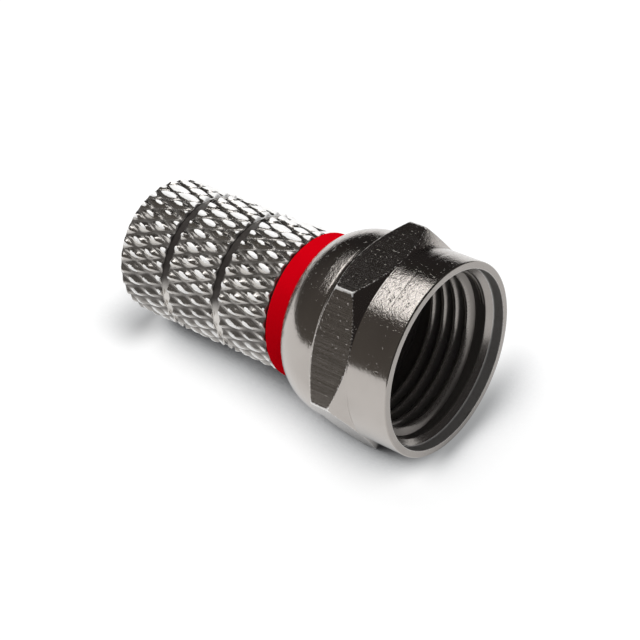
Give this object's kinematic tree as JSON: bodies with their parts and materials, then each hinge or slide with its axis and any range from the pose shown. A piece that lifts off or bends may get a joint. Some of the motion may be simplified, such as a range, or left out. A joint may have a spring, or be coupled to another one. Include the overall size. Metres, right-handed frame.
{
  "type": "twist-on f connector",
  "caption": "Twist-on coaxial F connector: a hexagon coupling nut spins on a diamond-knurled cable sleeve, with a coloured marker ring between them.",
  "frame": {"origin": "centre of the sleeve's front flange face, the mating reference plane of the connector", "axes": "+X along the connector's axis out of the nut's mouth; +Z is the normal of one flat of the hexagon"},
  "size_m": [0.0208, 0.0128, 0.0112],
  "materials": {
    "sleeve_nickel": "bright nickel plate over turned and knurled brass",
    "nut_nickel": "bright nickel plate over turned and brushed brass, worn at the edges",
    "marker_red": "flat saturated red"
  },
  "bodies": {
    "cable_sleeve": {"sleeve": "sleeve_nickel", "marker_ring": "marker_red"},
    "nut": {"coupling_nut": "nut_nickel"}
  },
  "joints": [
    {"name": "nut_spin", "type": "hinge", "parent": "cable_sleeve", "child": "nut", "pos_m": [0, 0, 0], "axis": [1, 0, 0], "continuous": true}
  ]
}
